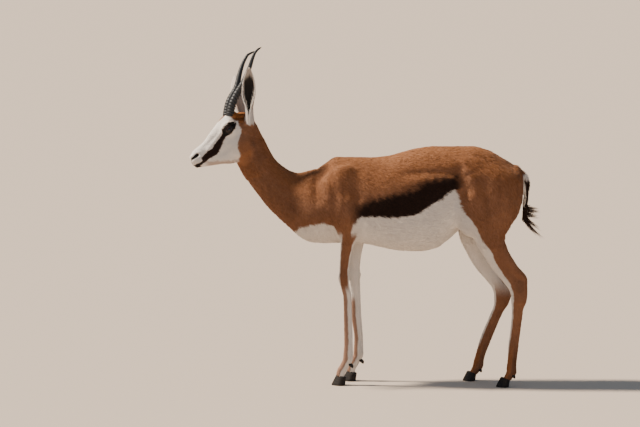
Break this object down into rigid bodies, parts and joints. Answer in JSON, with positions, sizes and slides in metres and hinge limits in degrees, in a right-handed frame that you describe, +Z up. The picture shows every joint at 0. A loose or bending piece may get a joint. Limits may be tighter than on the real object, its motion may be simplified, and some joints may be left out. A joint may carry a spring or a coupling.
{
  "type": "springbok antelope figure",
  "caption": "Life-size still figure of a standing springbok antelope: slim ringed horns, upright ears, head turned slightly left, slender legs on cloven hooves, thin tail with a dark tuft.",
  "frame": {"origin": "middle of the bounding box's underside, on the floor between the feet", "axes": "the animal faces -X, its left side is -Y, +Z is up"},
  "size_m": [1.1746, 0.2405, 1.1298],
  "materials": {
    "brown_coat": "short cinnamon-brown hair, matt",
    "pale_coat": "short white hair, matt",
    "dark_hair": "long black tail hair",
    "horn": "black horn, satin, ringed below and smooth above",
    "hoof": "dark horn, satin",
    "eye": "glossy near-black brown"
  },
  "bodies": {
    "root": {"chest": "brown_coat", "dewclaw_front_left_inner": "hoof", "dewclaw_front_left_outer": "hoof", "dewclaw_front_right_inner": "hoof", "dewclaw_front_right_outer": "hoof", "dewclaw_hind_left_inner": "hoof", "dewclaw_hind_left_outer": "hoof", "dewclaw_hind_right_inner": "hoof", "dewclaw_hind_right_outer": "hoof", "ear_left": "brown_coat", "ear_right": "brown_coat", "eye_left": "eye", "eye_right": "eye", "fore_cannon_left": "brown_coat", "fore_cannon_right": "brown_coat", "fore_pastern_left": "brown_coat", "fore_pastern_right": "brown_coat", "forearm_left": "brown_coat", "forearm_right": "brown_coat", "gaskin_left": "brown_coat", "gaskin_right": "brown_coat", "haunch_left": "brown_coat", "haunch_right": "brown_coat", "head": "brown_coat", "hind_cannon_left": "brown_coat", "hind_cannon_right": "brown_coat", "hind_pastern_left": "brown_coat", "hind_pastern_right": "brown_coat", "hoof_front_left_inner": "hoof", "hoof_front_left_outer": "hoof", "hoof_front_right_inner": "hoof", "hoof_front_right_outer": "hoof", "hoof_hind_left_inner": "hoof", "hoof_hind_left_outer": "hoof", "hoof_hind_right_inner": "hoof", "hoof_hind_right_outer": "hoof", "horn_left": "horn", "horn_right": "horn", "lower_jaw": "pale_coat", "neck": "brown_coat", "rump": "brown_coat", "tail": "brown_coat", "tail_tuft": "dark_hair", "trunk": "brown_coat", "upper_arm_left": "brown_coat", "upper_arm_right": "brown_coat"}
  },
  "joints": []
}
